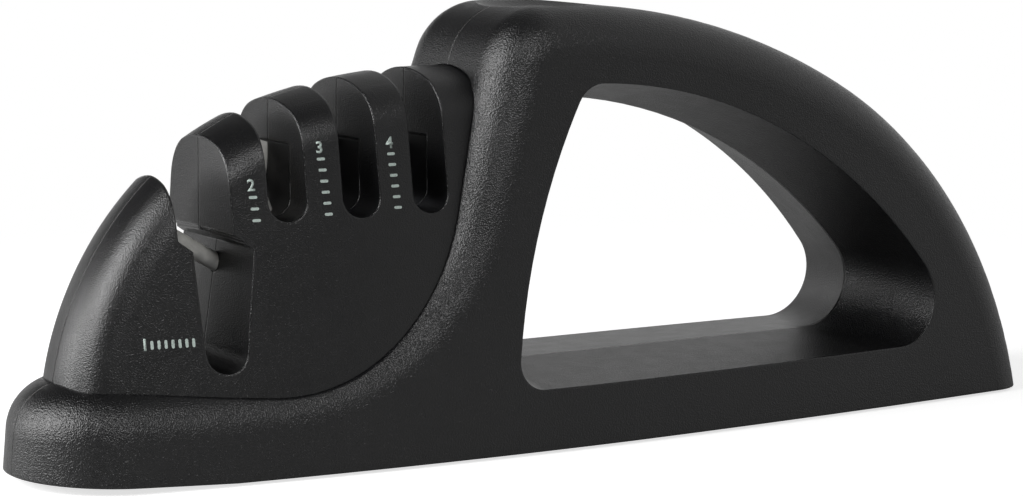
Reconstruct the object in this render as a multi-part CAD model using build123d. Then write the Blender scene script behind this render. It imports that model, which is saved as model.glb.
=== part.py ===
from build123d import *
import os
from math import asin, atan2, cos, degrees, radians, sin, sqrt, tan

os.makedirs("parts", exist_ok=True)

# Pull through knife sharpener. X runs along the object with the nose at minus X,
# minus Y is the near side, plus Z is up. The origin is on the resting plane,
# below the middle of the object. Places of the nose, the head and the pillar are counted
# from the tip of the nose, and those of the handle's rear from the rear end.

# Overall sizes of the case
case_front_reach = 104.7
case_rear_reach = 103.6
case_width = 50.8
case_height = 79.3
case_wall = 2.4
case_draft = 5.0
foot_proud = 0.6
overrun = 6.0
nose_rise = 1.2
nose_rise_reach = 33.0

# Plan of the case at the resting plane: half widths as shares of the whole width, and
# the nose radius as a share of the half width of the nose
widest_place = 6.0
nose_width_share = 0.31299
nose_side_from_nose = 58.7
nose_side_width_share = 0.45866
nose_round_share = 1.14465
rear_side_place = 60.0
rear_side_width_share = 0.46654
rear_plan_overhang = 8.4
rear_width_share = 0.3937

# Side outline of the case
shelf_height = 17.4
lip_start_from_nose = 41.9
lip_radius = 38.0
pillar_lean = 17.5
pillar_top_radius = 13.0
handle_top_radius = 131.6
handle_rear_radius = 84.6
handle_join_angle = 61.0
case_edge_radius = 9.2
thumb_dish_place = 1.5
thumb_dish_diameter = 25.4
thumb_dish_depth = 2.2

# Handle opening: at the parting plane and at the side faces
opening_floor_seam = 13.2
opening_floor_edge = 11.7
opening_front_seam_from_nose = 89.7
opening_front_edge_from_nose = 87.1
opening_front_lean = 17.0
opening_front_bulge = 3.3
arch_centre_from_rear = 105.1
arch_centre_drop = 111.8
arch_radius_seam = 94.3
arch_radius_edge = 98.5
handle_thickness = 18.8
opening_low_front_radius = 5.0
opening_low_rear_radius = 9.5
opening_top_front_radius = 6.0
opening_edge_depth = 22.0

# Head
head_wall = 2.2
head_draft = 9.0
head_base = 13.6
head_plan_front_from_nose = 4.2
head_front_width_share = 0.1752
head_side_from_nose = 45.7
head_side_width_share = 0.37992
head_plan_rear_from_nose = 96.7
head_rear_width_share = 0.37205
head_rear_limit_from_nose = 80.7
head_edge_radius = 8.6
head_crown_share = 0.43307
head_crown_reach_share = 0.40945
ridge_join_from_nose = (49.3, 64.0)
ridge_rear_from_nose = (91.9, 67.8)
nose_middle_from_nose = (14.2, 35.6)
head_tip_from_nose = (7.5, 13.6)
head_case_gap = 0.15
core_ceiling = 34.6

# Skirt of the head, inside the base
skirt_inset = 3.0
skirt_front_from_nose = 21.7
skirt_base = 6.0

# Knife slots
slot_pitch = 13.7
first_slot_from_nose = 46.2
slot_width = 6.5
slot_floor = 44.1
slot_draft = 1.2

# Scissors slot: a wide mouth, a slanting step and a window below
mouth_front_from_nose = 26.9
mouth_rear_from_nose = 35.9
mouth_height = 41.6
window_front_from_nose = 29.3
window_rear_from_nose = 39.3
window_height = 39.7
window_low_front_from_nose = 30.1
window_low_rear_from_nose = 36.7
window_low_height = 22.2
window_floor = 19.0

# Scissors rod
scissors_rod_diameter = 3.2
scissors_rod_lean = 30.8
scissors_rod_from_nose = (36.9, 36.9)
scissors_rod_front = 17.0
scissors_rod_rear = 3.7

# Rods, blades and their holders
element_lean = 20.0
rod_diameter = 4.0
rod_crossing = 46.1
rod_top = 56.1
rod_spacing = 0.4
blade_thickness = 2.0
blade_width = 4.0
blade_crossing = 44.8
blade_top = 54.6
blade_spacing = 0.2
blade_bevel = 0.6
holder_width = 12.4
holder_depth = 16.0
holder_base = 38.6
holder_top = 56.6
pocket_gap = 0.1
bore_gap = 0.05
element_floor_gap = 0.3

# Set screws of the blades
set_screw_diameter = 2.0
set_screw_length = 5.4
set_screw_height = 41.8

# Screws that run across the parting plane
screw_diameter = 2.9
screw_head_diameter = 5.6
screw_head_height = 2.2
screw_gap = 0.05
screw_seat_depth = 6.0
screw_bite = 9.0
boss_diameter = 7.0
counterbore_diameter = 6.4
front_screw_from_nose = (9.7, 7.2)
floor_front_screw_from_nose = (85.2, 6.9)
floor_screw_from_rear = (53.6, 6.9)
pillar_screw_from_nose = 100.7
pillar_screw_drop = 8.9
arch_screw_angle = 75.0
rear_screw_angle = 25.0
head_screws_from_nose = (28.7, 54.7, 73.7)
head_screw_height = 10.4
head_screw_seat = 7.0
head_boss_diameter = 8.0

# Base plate, its screws and the feet
plate_recess = 0.3
plate_top = 3.0
plate_gap = 0.15
plate_screw_from_nose = (17.2, 14.4)
plate_screw_middle = (9.0, 8.4)
plate_screw_from_rear = (15.6, 13.4)
plate_boss_diameter = 5.4
plate_boss_top = 12.4
plate_screw_diameter = 2.4
plate_screw_head_diameter = 4.8
plate_screw_length = 6.0
rest_ribs_from_nose = (32.7, 68.7)
rest_rib_length = 3.0
rest_rib_half_width = 12.0
foot_from_nose = (34.7, 14.9)
foot_from_rear = (31.6, 12.9)
foot_diameter = 12.0
foot_thickness = 2.0
foot_edge_round = 0.4


def from_nose(place):
    """A place that is counted from the nose, as one from the origin."""
    return (case_front + place[0], place[1])


def from_rear(place):
    """A place that is counted from the rear end, as one from the origin."""
    return (case_rear_reach - place[0], place[1])


def inside_side(place):
    """A place in plan whose second number is counted inwards from the side face."""
    return (place[0], case_width / 2 - place[1])


# Worked out from the sizes above
case_length = case_front_reach + case_rear_reach
case_front = -case_front_reach
nose_side_place = case_front + nose_side_from_nose
lip_start = case_front + lip_start_from_nose
opening_front_seam = case_front + opening_front_seam_from_nose
opening_front_edge = case_front + opening_front_edge_from_nose
head_plan_front = case_front + head_plan_front_from_nose
head_side_place = case_front + head_side_from_nose
head_plan_rear = case_front + head_plan_rear_from_nose
head_rear_limit = case_front + head_rear_limit_from_nose
skirt_front = case_front + skirt_front_from_nose
first_slot_place = case_front + first_slot_from_nose
mouth_front = case_front + mouth_front_from_nose
mouth_rear = case_front + mouth_rear_from_nose
window_front = case_front + window_front_from_nose
window_rear = case_front + window_rear_from_nose
window_low_front = case_front + window_low_front_from_nose
window_low_rear = case_front + window_low_rear_from_nose
ridge_join = from_nose(ridge_join_from_nose)
ridge_rear = from_nose(ridge_rear_from_nose)
nose_middle = from_nose(nose_middle_from_nose)
head_tip = from_nose(head_tip_from_nose)
scissors_rod_place = from_nose(scissors_rod_from_nose)
front_screw = from_nose(front_screw_from_nose)
floor_front_screw = from_nose(floor_front_screw_from_nose)
head_screw_places = [case_front + place for place in head_screws_from_nose]
rest_rib_places = [case_front + place for place in rest_ribs_from_nose]
floor_rear_screw = from_rear(floor_screw_from_rear)
pillar_screw = (case_front + pillar_screw_from_nose, case_height - pillar_screw_drop)
arch_centre = (case_rear_reach - arch_centre_from_rear, case_height - arch_centre_drop)
nose_half_width = case_width * nose_width_share
nose_side_half_width = case_width * nose_side_width_share
nose_plan_radius = nose_half_width * nose_round_share
rear_side_half_width = case_width * rear_side_width_share
rear_plan_end = case_rear_reach + rear_plan_overhang
rear_plan_half_width = case_width * rear_width_share
head_front_half_width = case_width * head_front_width_share
head_side_half_width = case_width * head_side_width_share
head_rear_half_width = case_width * head_rear_width_share
head_crown_radius = case_width * head_crown_share
head_crown_reach = case_width * head_crown_reach_share
plate_screw_places = (
    inside_side(from_nose(plate_screw_from_nose)),
    inside_side(plate_screw_middle),
    inside_side(from_rear(plate_screw_from_rear)),
)
foot_places = (inside_side(from_nose(foot_from_nose)), inside_side(from_rear(foot_from_rear)))
case_base = foot_proud
join = radians(handle_join_angle)
centre_step = handle_top_radius - handle_rear_radius
rear_centre_height = case_height - handle_top_radius + centre_step * sin(join)
rear_centre = (case_rear_reach - sqrt(handle_rear_radius**2 - rear_centre_height**2), rear_centre_height)
top_centre = (rear_centre[0] - centre_step * cos(join), case_height - handle_top_radius)
plate_bottom = case_base + plate_recess


def meet_circle(point, direction, centre, radius):
    """The first place along a direction where a line meets a circle from inside."""
    px = point[0] - centre[0]
    pz = point[1] - centre[1]
    along = px * direction[0] + pz * direction[1]
    reach = sqrt(along**2 - px**2 - pz**2 + radius**2) - along
    return (point[0] + reach * direction[0], point[1] + reach * direction[1])


def on_circle(centre, radius, angle):
    """A place on a circle, with the angle in radians."""
    return (centre[0] + radius * cos(angle), centre[1] + radius * sin(angle))


def side_plane(offset_to_near):
    """The plane of a side view, moved towards the near side."""
    return Plane.XZ.offset(offset_to_near)


def corner_near(face, place):
    """The corner of a face that lies nearest to a place in its own plane."""
    return sorted(face.vertices(), key=lambda v: (v.X - place[0])**2 + (v.Y - place[1])**2)[0]


def case_plan():
    """The outline of the case from above, at the resting plane."""
    nose = (case_front, nose_half_width)
    widest = (widest_place, case_width / 2)
    rear = (rear_plan_end, rear_plan_half_width)
    side = Curve() + [
        ThreePointArc(nose, (nose_side_place, nose_side_half_width), widest),
        ThreePointArc(widest, (rear_side_place, rear_side_half_width), rear),
    ]
    ends = [
        Line((case_front, -nose_half_width), nose),
        Line(rear, (rear_plan_end, -rear_plan_half_width)),
    ]
    face = make_face(Curve() + [side, mirror(side, about=Plane.XZ)] + ends)
    tips = [corner_near(face, (case_front, side * nose_half_width)) for side in (-1, 1)]
    return fillet(tips, nose_plan_radius)


def case_outline():
    """The outline of the case from the side."""
    lean = radians(pillar_lean)
    lip_centre = (lip_start, shelf_height + lip_radius)
    lip_end = on_circle(lip_centre, lip_radius, -lean)
    pillar_top = meet_circle(lip_end, (sin(lean), cos(lean)), top_centre, handle_top_radius)
    top_start = degrees(atan2(pillar_top[1] - top_centre[1], pillar_top[0] - top_centre[0]))
    low = case_base - overrun
    low_angle = atan2(low - rear_centre[1], sqrt(handle_rear_radius**2 - (low - rear_centre[1])**2))
    rear_low = on_circle(rear_centre, handle_rear_radius, low_angle)
    join_point = on_circle(rear_centre, handle_rear_radius, join)
    front = case_front - overrun
    top_middle = on_circle(top_centre, handle_top_radius, (radians(top_start) + join) / 2)
    rear_middle = on_circle(rear_centre, handle_rear_radius, (join + low_angle) / 2)
    lip_middle = on_circle(lip_centre, lip_radius, (-radians(90) - lean) / 2)
    outline = Curve() + [
        Line((front, low), (front, shelf_height)),
        Line((front, shelf_height), (lip_start, shelf_height)),
        ThreePointArc((lip_start, shelf_height), lip_middle, lip_end),
        Line(lip_end, pillar_top),
        ThreePointArc(pillar_top, top_middle, join_point),
        ThreePointArc(join_point, rear_middle, rear_low),
        Line(rear_low, (front, low)),
    ]
    face = make_face(outline)
    return fillet(corner_near(face, pillar_top), pillar_top_radius)


def rim_edges(body, rim):
    """The edges of a body that run along both rims of a side outline."""
    line = side_plane(0) * rim
    found = []
    for edge in body.edges():
        middle = edge.position_at(0.5)
        shadow = Vertex(middle.X, 0, middle.Z)
        if abs(middle.Y) > case_wall and line.distance_to(shadow) < bore_gap:
            found.append(edge)
    return found


def drafted(plan, low, high, draft):
    """A plan drawn up from low to high, which narrows by the draft angle."""
    narrowing = (high - low) * tan(radians(draft))
    return loft([Pos(0, 0, low) * plan, Pos(0, 0, high) * offset(plan, amount=-narrowing)], ruled=True)


def case_body(inset):
    """The outer form of the case, or the form inside its wall."""
    plan = case_plan()
    outline = case_outline()
    low = case_base
    if inset > 0:
        low = case_base - overrun
        plan = offset(plan, amount=overrun * tan(radians(case_draft)) - inset)
        outline = offset(outline, amount=-inset)
    upright = drafted(plan, low, case_height + overrun, case_draft)
    body = upright & extrude(side_plane(0) * outline, amount=case_width, both=True)
    return fillet(rim_edges(body, outline.face().outer_wire()), case_edge_radius - inset)


def opening_outline(floor, front, radius, grow):
    """The outline of the handle opening from the side, with a wall round it where it grows."""
    lean = radians(opening_front_lean)
    low_front = (front - grow, floor - grow)
    top_front = meet_circle(low_front, (sin(lean), cos(lean)), arch_centre, radius + grow)
    top_angle = atan2(top_front[1] - arch_centre[1], top_front[0] - arch_centre[0])
    low_angle = asin((low_front[1] - arch_centre[1]) / (radius + grow))
    middle = on_circle(arch_centre, radius + grow, (top_angle + low_angle) / 2)
    low_rear = on_circle(arch_centre, radius + grow, low_angle)
    outline = Curve() + [
        SagittaArc(low_front, top_front, opening_front_bulge),
        ThreePointArc(top_front, middle, low_rear),
        Line(low_rear, low_front),
    ]
    face = make_face(outline)
    face = fillet(corner_near(face, low_front), opening_low_front_radius + grow)
    face = fillet(corner_near(face, low_rear), opening_low_rear_radius + grow)
    return fillet(corner_near(face, top_front), opening_top_front_radius + grow)


def opening_body(grow):
    """The space of the handle opening, or that space with a wall round it."""
    seam = opening_outline(opening_floor_seam, opening_front_seam, arch_radius_seam, grow)
    reach = case_width / 2 + overrun
    share = reach / opening_edge_depth
    floor_far = opening_floor_seam + (opening_floor_edge - opening_floor_seam) * share
    front_far = opening_front_seam + (opening_front_edge - opening_front_seam) * share
    radius_far = arch_radius_seam + (arch_radius_edge - arch_radius_seam) * share
    far = opening_outline(floor_far, front_far, radius_far, grow)
    near_space = loft([side_plane(0) * seam, side_plane(reach) * far], ruled=True)
    return near_space + mirror(near_space, about=Plane.XZ)


def thumb_dish():
    """A ball whose cap is the shallow dish in the top of the handle."""
    reach = thumb_dish_diameter / 2
    ball_radius = (reach**2 + thumb_dish_depth**2) / (2 * thumb_dish_depth)
    top = top_centre[1] + sqrt(handle_top_radius**2 - (thumb_dish_place - top_centre[0])**2)
    return Pos(thumb_dish_place, 0, top - thumb_dish_depth + ball_radius) * Sphere(ball_radius)


def head_plan(grow):
    """The outline of the head from above, larger all round than at its base."""
    front_half = max(head_front_half_width + grow, head_wall)
    front = (head_plan_front - grow, front_half)
    rear = (head_plan_rear, head_rear_half_width + grow)
    flank = ThreePointArc(front, (head_side_place, head_side_half_width + grow), rear)
    ends = [
        Line((front[0], -front_half), front),
        Line(rear, (rear[0], -rear[1])),
    ]
    return make_face(Curve() + [flank, mirror(flank, about=Plane.XZ)] + ends)


def barrel(arc, grow):
    """The round body under one arc of the ridge, which falls away to both sides."""
    radius = arc.radius + grow
    crown = head_crown_radius + grow
    reach = head_crown_reach + grow
    edge = radius - crown + sqrt(crown**2 - reach**2)
    low = (edge, -reach)
    high = (edge, reach)
    sides = Polyline(high, (0, reach), (0, -reach), low)
    section = make_face(Curve() + [ThreePointArc(low, (radius, 0), high), sides])
    centre = arc.arc_center
    return Pos(centre.X, 0, centre.Y) * revolve(section, Axis.Y)


def head_bow(grow):
    """The form under the ridge, from two round bodies that meet without a step."""
    nose = ThreePointArc(ridge_join, nose_middle, head_tip)
    fins = TangentArc(ridge_join, ridge_rear, tangent=-(nose % 0))
    along = fins % 0
    parting = Plane((ridge_join[0], 0, ridge_join[1]), z_dir=(along.X, 0, along.Y))
    block = Rectangle(case_length * 2, case_length * 2)
    behind = extrude(parting * block, amount=case_length)
    ahead = extrude(parting * block, amount=-case_length)
    return (barrel(fins.edge(), grow) & behind) + (barrel(nose.edge(), grow) & ahead)


def head_rear():
    """Everything behind the rear face of the head, which lies inside the pillar."""
    fall = tan(radians(pillar_lean))
    high = ridge_rear[1] + overrun
    low = ridge_rear[1] - (ridge_rear[0] - head_rear_limit) / fall
    points = [
        (head_rear_limit, head_base - overrun),
        (head_rear_limit, low),
        (ridge_rear[0] + overrun * fall, high),
        (case_length / 2, high),
        (case_length / 2, head_base - overrun),
    ]
    outline = make_face(Polyline(*points, close=True))
    return extrude(side_plane(0) * outline, amount=case_width, both=True)


def head_body(grow):
    """The outer form of the head, or a form that is larger or smaller all round."""
    low = head_base
    high = ridge_rear[1] + overrun
    narrowing = (high - low) * tan(radians(head_draft))
    plans = [Pos(0, 0, low) * head_plan(grow), Pos(0, 0, high) * head_plan(grow - narrowing)]
    body = loft(plans, ruled=True) & head_bow(grow)
    rim = []
    for edge in body.edges():
        middle = edge.position_at(0.5)
        if abs(middle.Y) > case_wall and middle.Z > head_base + head_wall and middle.X < head_rear_limit:
            rim.append(edge)
    body = fillet(rim, head_edge_radius + grow)
    return body - Pos(min(grow, 0), 0, 0) * head_rear()


def slot_outline(place, floor, width):
    """A knife slot from the side: straight walls and a round floor."""
    radius = width / 2
    low = floor + radius
    high = ridge_rear[1] + overrun
    outline = Curve() + [
        Line((place - radius, high), (place - radius, low)),
        ThreePointArc((place - radius, low), (place, floor), (place + radius, low)),
        Line((place + radius, low), (place + radius, high)),
        Line((place + radius, high), (place - radius, high)),
    ]
    return make_face(outline)


def widening(face, draft):
    """A space cut through from side to side, which widens away from the parting plane."""
    reach = case_width / 2
    wide = offset(face, amount=reach * tan(radians(draft)))
    half = loft([side_plane(0) * face, side_plane(reach) * wide], ruled=True)
    return half + mirror(half, about=Plane.XZ)


def mouth_outline():
    """The scissors slot from the side: a mouth, a slanting step and a window."""
    high = ridge_rear[1]
    middle = (window_low_rear + window_low_front) / 2
    low_front = (window_low_front, window_low_height)
    low_rear = (window_low_rear, window_low_height)
    outline = Curve() + [
        Line((mouth_front, high), (mouth_front, mouth_height)),
        Line((mouth_front, mouth_height), (window_front, window_height)),
        Line((window_front, window_height), low_front),
        ThreePointArc(low_front, (middle, window_floor), low_rear),
        Line(low_rear, (window_rear, window_height)),
        Line((window_rear, window_height), (mouth_rear, mouth_height)),
        Line((mouth_rear, mouth_height), (mouth_rear, high)),
        Line((mouth_rear, high), (mouth_front, high)),
    ]
    return make_face(outline)


def slot_places():
    """The middles of the three knife slots, from the nose to the pillar."""
    return [first_slot_place + number * slot_pitch for number in range(3)]


def slot_spaces():
    """The scissors slot and the three knife slots, as spaces to cut away."""
    spaces = [widening(mouth_outline(), slot_draft)]
    for place in slot_places():
        spaces.append(widening(slot_outline(place, slot_floor, slot_width), slot_draft))
    return spaces


def half_space(side):
    """Everything on one side of the parting plane: -1 is near, 1 is far."""
    size = case_length * 2
    return Pos(0, side * size / 2, 0) * Box(size, size, size)


def across(place, diameter, start, end):
    """A round bar that lies across the object from one Y to another."""
    length = end - start
    middle = Pos(place[0], start + length / 2, place[1])
    return middle * Rot(90, 0, 0) * Cylinder(diameter / 2, length)


def upright_bar(place, diameter, low, high):
    """A round bar that stands from one height to another."""
    return Pos(place[0], place[1], (low + high) / 2) * Cylinder(diameter / 2, high - low)


def case_screw_places():
    """Where the screws that join the case halves cross the parting plane."""
    arch_radius = handle_top_radius - handle_thickness / 2
    rear_radius = handle_rear_radius - handle_thickness / 2
    arch = on_circle(top_centre, arch_radius, radians(arch_screw_angle))
    rear = on_circle(rear_centre, rear_radius, radians(rear_screw_angle))
    return [front_screw, floor_front_screw, floor_rear_screw, pillar_screw, arch, rear]


def plate_places():
    """Where the base plate's screws stand, on both sides."""
    return [(place[0], side * place[1]) for place in plate_screw_places for side in (-1, 1)]


def feet_places():
    """Where the rubber feet stand, on both sides."""
    return [(place[0], side * place[1]) for place in foot_places for side in (-1, 1)]


def bored_boss(place, side, diameter, seat):
    """A boss across one half, and the bore for its screw, whose head sits at the seat."""
    reach = case_width / 2
    boss = across(place, diameter, min(0, side * reach), max(0, side * reach))
    shank = screw_diameter + 2 * screw_gap
    if side < 0:
        return boss, across(place, shank, -screw_bite - screw_gap, 0)
    bore = across(place, shank, 0, reach)
    return boss, bore + across(place, counterbore_diameter, seat, reach)


def plate_boss(place):
    """A boss for one screw of the base plate, with a web to the side wall."""
    side = 1 if place[1] > 0 else -1
    boss = upright_bar(place, plate_boss_diameter, plate_top, plate_boss_top)
    reach = case_width / 2 - abs(place[1])
    height = plate_boss_top - plate_top
    web_middle = (place[1] + side * reach / 2, (plate_boss_top + plate_top) / 2)
    return boss + Pos(place[0], web_middle[0], web_middle[1]) * Box(case_wall, reach, height)


def nose_lift():
    """The wedge that is missing under the nose, which clears the table there."""
    tip = (case_front - overrun, case_base + nose_rise * (1 + overrun / nose_rise_reach))
    points = [tip, (case_front + nose_rise_reach, case_base), (tip[0], case_base)]
    outline = make_face(Polyline(*points, close=True))
    return extrude(side_plane(0) * outline, amount=case_width, both=True)


def case_outside():
    """The outer form of the case with its handle opening, thumb dish and room for the head."""
    return case_body(0) - opening_body(0) - thumb_dish() - nose_lift() - head_body(head_case_gap)


def case_inside():
    """The hollow of the case, which leaves its wall all round."""
    return case_body(case_wall) - opening_body(case_wall) - Pos(0, 0, -case_wall) * thumb_dish()


def plate_screw_bore(place):
    """The blind bore in a boss for one screw of the base plate."""
    diameter = plate_screw_diameter + 2 * screw_gap
    return upright_bar(place, diameter, plate_top - overrun, plate_top + plate_screw_length)


def case_half(side, outside, inside):
    """One half of the outer case, with its bosses."""
    half = (outside - inside) & half_space(side)
    bores = []
    for place in case_screw_places():
        boss, bore = bored_boss(place, side, boss_diameter, screw_seat_depth)
        half += boss & outside
        bores.append(bore)
    for place in plate_places():
        if side * place[1] > 0:
            half += plate_boss(place) & outside
            bores.append(plate_screw_bore(place))
    for bore in bores:
        half -= bore
    return half


def skirt_body(inset):
    """The part of the head that reaches down into the base, or the space inside it."""
    low = skirt_base - inset
    high = head_base + head_wall + inset / 4
    block = Pos(0, 0, low) * extrude(head_plan(-skirt_inset - inset), amount=high - low)
    front = skirt_front + inset
    rear = head_rear_limit - head_wall - inset
    keep = Pos((front + rear) / 2, 0, 0) * Box(rear - front, case_width, case_height)
    return block & keep


def holder_box(place, gap):
    """The block of one holder, or the pocket that it fits."""
    height = holder_top - holder_base
    block = Box(holder_width + 2 * gap, holder_depth + 2 * gap, height + 2 * gap)
    return Pos(place, 0, (holder_top + holder_base) / 2) * block


def scissors_rod(gap):
    """The rod across the scissors slot, or the bore that it fits."""
    length = scissors_rod_front + scissors_rod_rear + 2 * gap
    middle = (scissors_rod_front - scissors_rod_rear) / 2
    bar = Pos(0, 0, -middle) * Cylinder(scissors_rod_diameter / 2 + gap, length)
    place = Pos(scissors_rod_place[0], 0, scissors_rod_place[1])
    return place * Rot(0, 90 + scissors_rod_lean, 0) * bar


def head_core():
    """The whole head before it is parted: form, slots, pockets and hollow."""
    floor = head_base + head_wall
    height = core_ceiling - floor
    layer = Pos(0, 0, floor + height / 2) * Box(case_length * 2, case_width * 2, height)
    hollow = head_body(-head_wall) & layer
    hollow -= widening(offset(mouth_outline(), amount=head_wall), slot_draft)
    body = head_body(0) + skirt_body(0) - hollow - skirt_body(head_wall)
    for space in slot_spaces():
        body -= space
    for place in slot_places():
        body -= holder_box(place, pocket_gap)
    return body - scissors_rod(bore_gap)


def head_half(core, side):
    """One half of the head, with its bosses."""
    envelope = skirt_body(0)
    bosses = []
    bores = []
    for place in head_screw_places:
        centre = (place, head_screw_height)
        boss, bore = bored_boss(centre, side, head_boss_diameter, head_screw_seat)
        bosses.append((boss & envelope) - bore)
        bores.append(bore)
    return (core & half_space(side)) - bores + bosses


def leaning(place, crossing, side, body):
    """Sets an upright body across the slot: the far one leans to the pillar."""
    return Pos(place, 0, crossing) * Rot(0, side * element_lean, 0) * body


def element_reach(width, crossing, top):
    """How far an element reaches below and above its crossing, along its own lean."""
    lean = radians(element_lean)
    low = (holder_base + element_floor_gap - crossing + sin(lean) * width / 2) / cos(lean)
    return low, (top - crossing) / cos(lean)


def rod(place, side, gap):
    """One rod of a pair, or the bore that it fits."""
    low, high = element_reach(rod_diameter, rod_crossing, rod_top)
    if gap > 0:
        low -= overrun
        high += gap
    centre = Pos(0, side * (rod_diameter + rod_spacing) / 2, (low + high) / 2)
    bar = centre * Cylinder(rod_diameter / 2 + gap, high - low)
    return leaning(place, rod_crossing, side, bar)


def blade(place, side, gap):
    """One blade of the first coarse slot, or the slot that it fits."""
    low, high = element_reach(blade_width, blade_crossing, blade_top)
    if gap > 0:
        low -= overrun
        high += gap
    bar = Box(blade_width + 2 * gap, blade_thickness + 2 * gap, high - low)
    if gap == 0:
        edges = bar.edges().filter_by(Axis.Z).sort_by(Axis.X, reverse=side < 0)
        bar = chamfer(edges[:2], blade_bevel)
    centre = Pos(0, side * (blade_thickness + blade_spacing) / 2, (low + high) / 2)
    return leaning(place, blade_crossing, side, centre * bar)


def set_screw(place, side, gap):
    """A set screw that presses on a blade from the side of its holder."""
    seat = blade_spacing / 2 + blade_thickness + screw_gap
    start = seat if gap == 0 else 0
    end = seat + set_screw_length if gap == 0 else holder_depth
    lean_shift = side * (set_screw_height - blade_crossing) * tan(radians(element_lean))
    centre = (place + lean_shift, set_screw_height)
    near, far = sorted((side * start, side * end))
    return across(centre, set_screw_diameter + 2 * gap, near, far)


def holder(place, element):
    """The block that carries the two rods or blades of one slot."""
    block = holder_box(place, 0)
    block -= widening(slot_outline(place, slot_floor, slot_width), slot_draft)
    for side in (-1, 1):
        block -= element(place, side, bore_gap)
    return block


def screw(centre, start, tip):
    """A screw across the object, its head at start and its tip at tip."""
    shank = across(centre, screw_diameter, tip, start)
    head = across(centre, screw_head_diameter, start, start + screw_head_height)
    recess = across(centre, screw_diameter / 2, start + screw_head_height / 2, start + screw_head_height + screw_gap)
    return shank + head - recess


def base_plate():
    """The plate that closes the case from below."""
    plan = offset(case_plan(), amount=-case_wall - plate_gap)
    plate = Pos(0, 0, plate_bottom) * extrude(plan, amount=plate_top - plate_bottom)
    keep = case_body(case_wall + plate_gap)
    plate = plate & keep
    for place in rest_rib_places:
        height = skirt_base - plate_top
        rib = Box(rest_rib_length, rest_rib_half_width * 2, height)
        plate += Pos(place, 0, plate_top + height / 2) * rib
    for place in plate_places():
        plate -= plate_screw(place, screw_gap)
    for place in feet_places():
        plate -= upright_bar(place, foot_diameter + 2 * pocket_gap, 0, foot_thickness)
    return plate


def plate_screw(place, gap):
    """A countersunk screw of the base plate, or the hole that it passes."""
    tip = plate_top + plate_screw_length - plate_screw_diameter / 2
    shank = upright_bar(place, plate_screw_diameter + 2 * gap, plate_bottom, tip)
    depth = (plate_screw_head_diameter - plate_screw_diameter) / 2
    low = plate_bottom - gap
    cone = Cone(plate_screw_head_diameter / 2 + 2 * gap, plate_screw_diameter / 2 + gap, depth + gap)
    return shank + Pos(place[0], place[1], low + (depth + gap) / 2) * cone


def foot(place):
    """A rubber foot, glued into its recess in the base plate."""
    disc = upright_bar(place, foot_diameter, 0, foot_thickness)
    return fillet(disc.edges().group_by(Axis.Z)[0], foot_edge_round)


def write(name, body):
    """Writes one node, whose solids keep their places."""
    export_step(body, os.path.join("parts", name + ".step"))


def group(bodies):
    """Separate solids that share one node."""
    return Compound(children=[solid for body in bodies for solid in body.solids()])


fine_place, coarse2_place, coarse1_place = slot_places()
core = head_core()
outside = case_outside()
inside = case_inside()
case_screws = [screw(place, screw_seat_depth, -screw_bite) for place in case_screw_places()]
write("case_half_near", case_half(-1, outside, inside))
write("case_half_far", case_half(1, outside, inside))
write("case_screws", group(case_screws))
write("head_half_near", head_half(core, -1))
write("head_half_far", head_half(core, 1))
head_centres = [(place, head_screw_height) for place in head_screw_places]
write("head_screws", group([screw(centre, head_screw_seat, -screw_bite) for centre in head_centres]))
write("scissors_rod", scissors_rod(0))
for slot_name, place in (("fine", fine_place), ("coarse2", coarse2_place)):
    write(slot_name + "_rod_near", rod(place, -1, 0))
    write(slot_name + "_rod_far", rod(place, 1, 0))
    write(slot_name + "_rod_holder", holder(place, rod))
write("coarse1_blade_near", blade(coarse1_place, -1, 0))
write("coarse1_blade_far", blade(coarse1_place, 1, 0))
blade_holder = holder(coarse1_place, blade)
for side in (-1, 1):
    blade_holder -= set_screw(coarse1_place, side, screw_gap)
write("coarse1_blade_holder", blade_holder)
write("coarse1_blade_screws", group([set_screw(coarse1_place, side, 0) for side in (-1, 1)]))
write("base_plate", base_plate())
write("base_plate_screws", group([plate_screw(place, 0) for place in plate_places()]))
foot_names = ("front_near", "front_far", "rear_near", "rear_far")
for foot_name, place in zip(foot_names, feet_places()):
    write("rubber_foot_" + foot_name, foot(place))
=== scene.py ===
"""Looks, printed marks and studio for a pull through knife sharpener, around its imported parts."""
import math

import bmesh
import bpy
from mathutils import Matrix, Vector
from mathutils.bvhtree import BVHTree


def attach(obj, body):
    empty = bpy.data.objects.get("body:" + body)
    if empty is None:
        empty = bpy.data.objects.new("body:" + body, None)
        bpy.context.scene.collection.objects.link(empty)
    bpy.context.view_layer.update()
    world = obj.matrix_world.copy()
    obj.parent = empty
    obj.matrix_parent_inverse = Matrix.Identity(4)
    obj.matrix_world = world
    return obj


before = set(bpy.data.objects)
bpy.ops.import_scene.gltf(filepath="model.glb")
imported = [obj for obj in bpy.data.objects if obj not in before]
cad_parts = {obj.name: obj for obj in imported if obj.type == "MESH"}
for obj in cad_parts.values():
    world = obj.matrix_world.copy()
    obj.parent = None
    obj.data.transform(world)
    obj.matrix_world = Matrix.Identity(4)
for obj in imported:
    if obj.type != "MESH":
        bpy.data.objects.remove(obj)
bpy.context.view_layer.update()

bl_info = {
    "name": "Pull Through Knife Sharpener",
    "version": (1, 0, 0),
    "blender": (4, 5, 0),
    "location": "View3D > Sidebar > Sharpener",
    "description": "Finishes the parts of a knife sharpener and sets them in a studio",
    "category": "Object",
}

MM = 0.001

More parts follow.
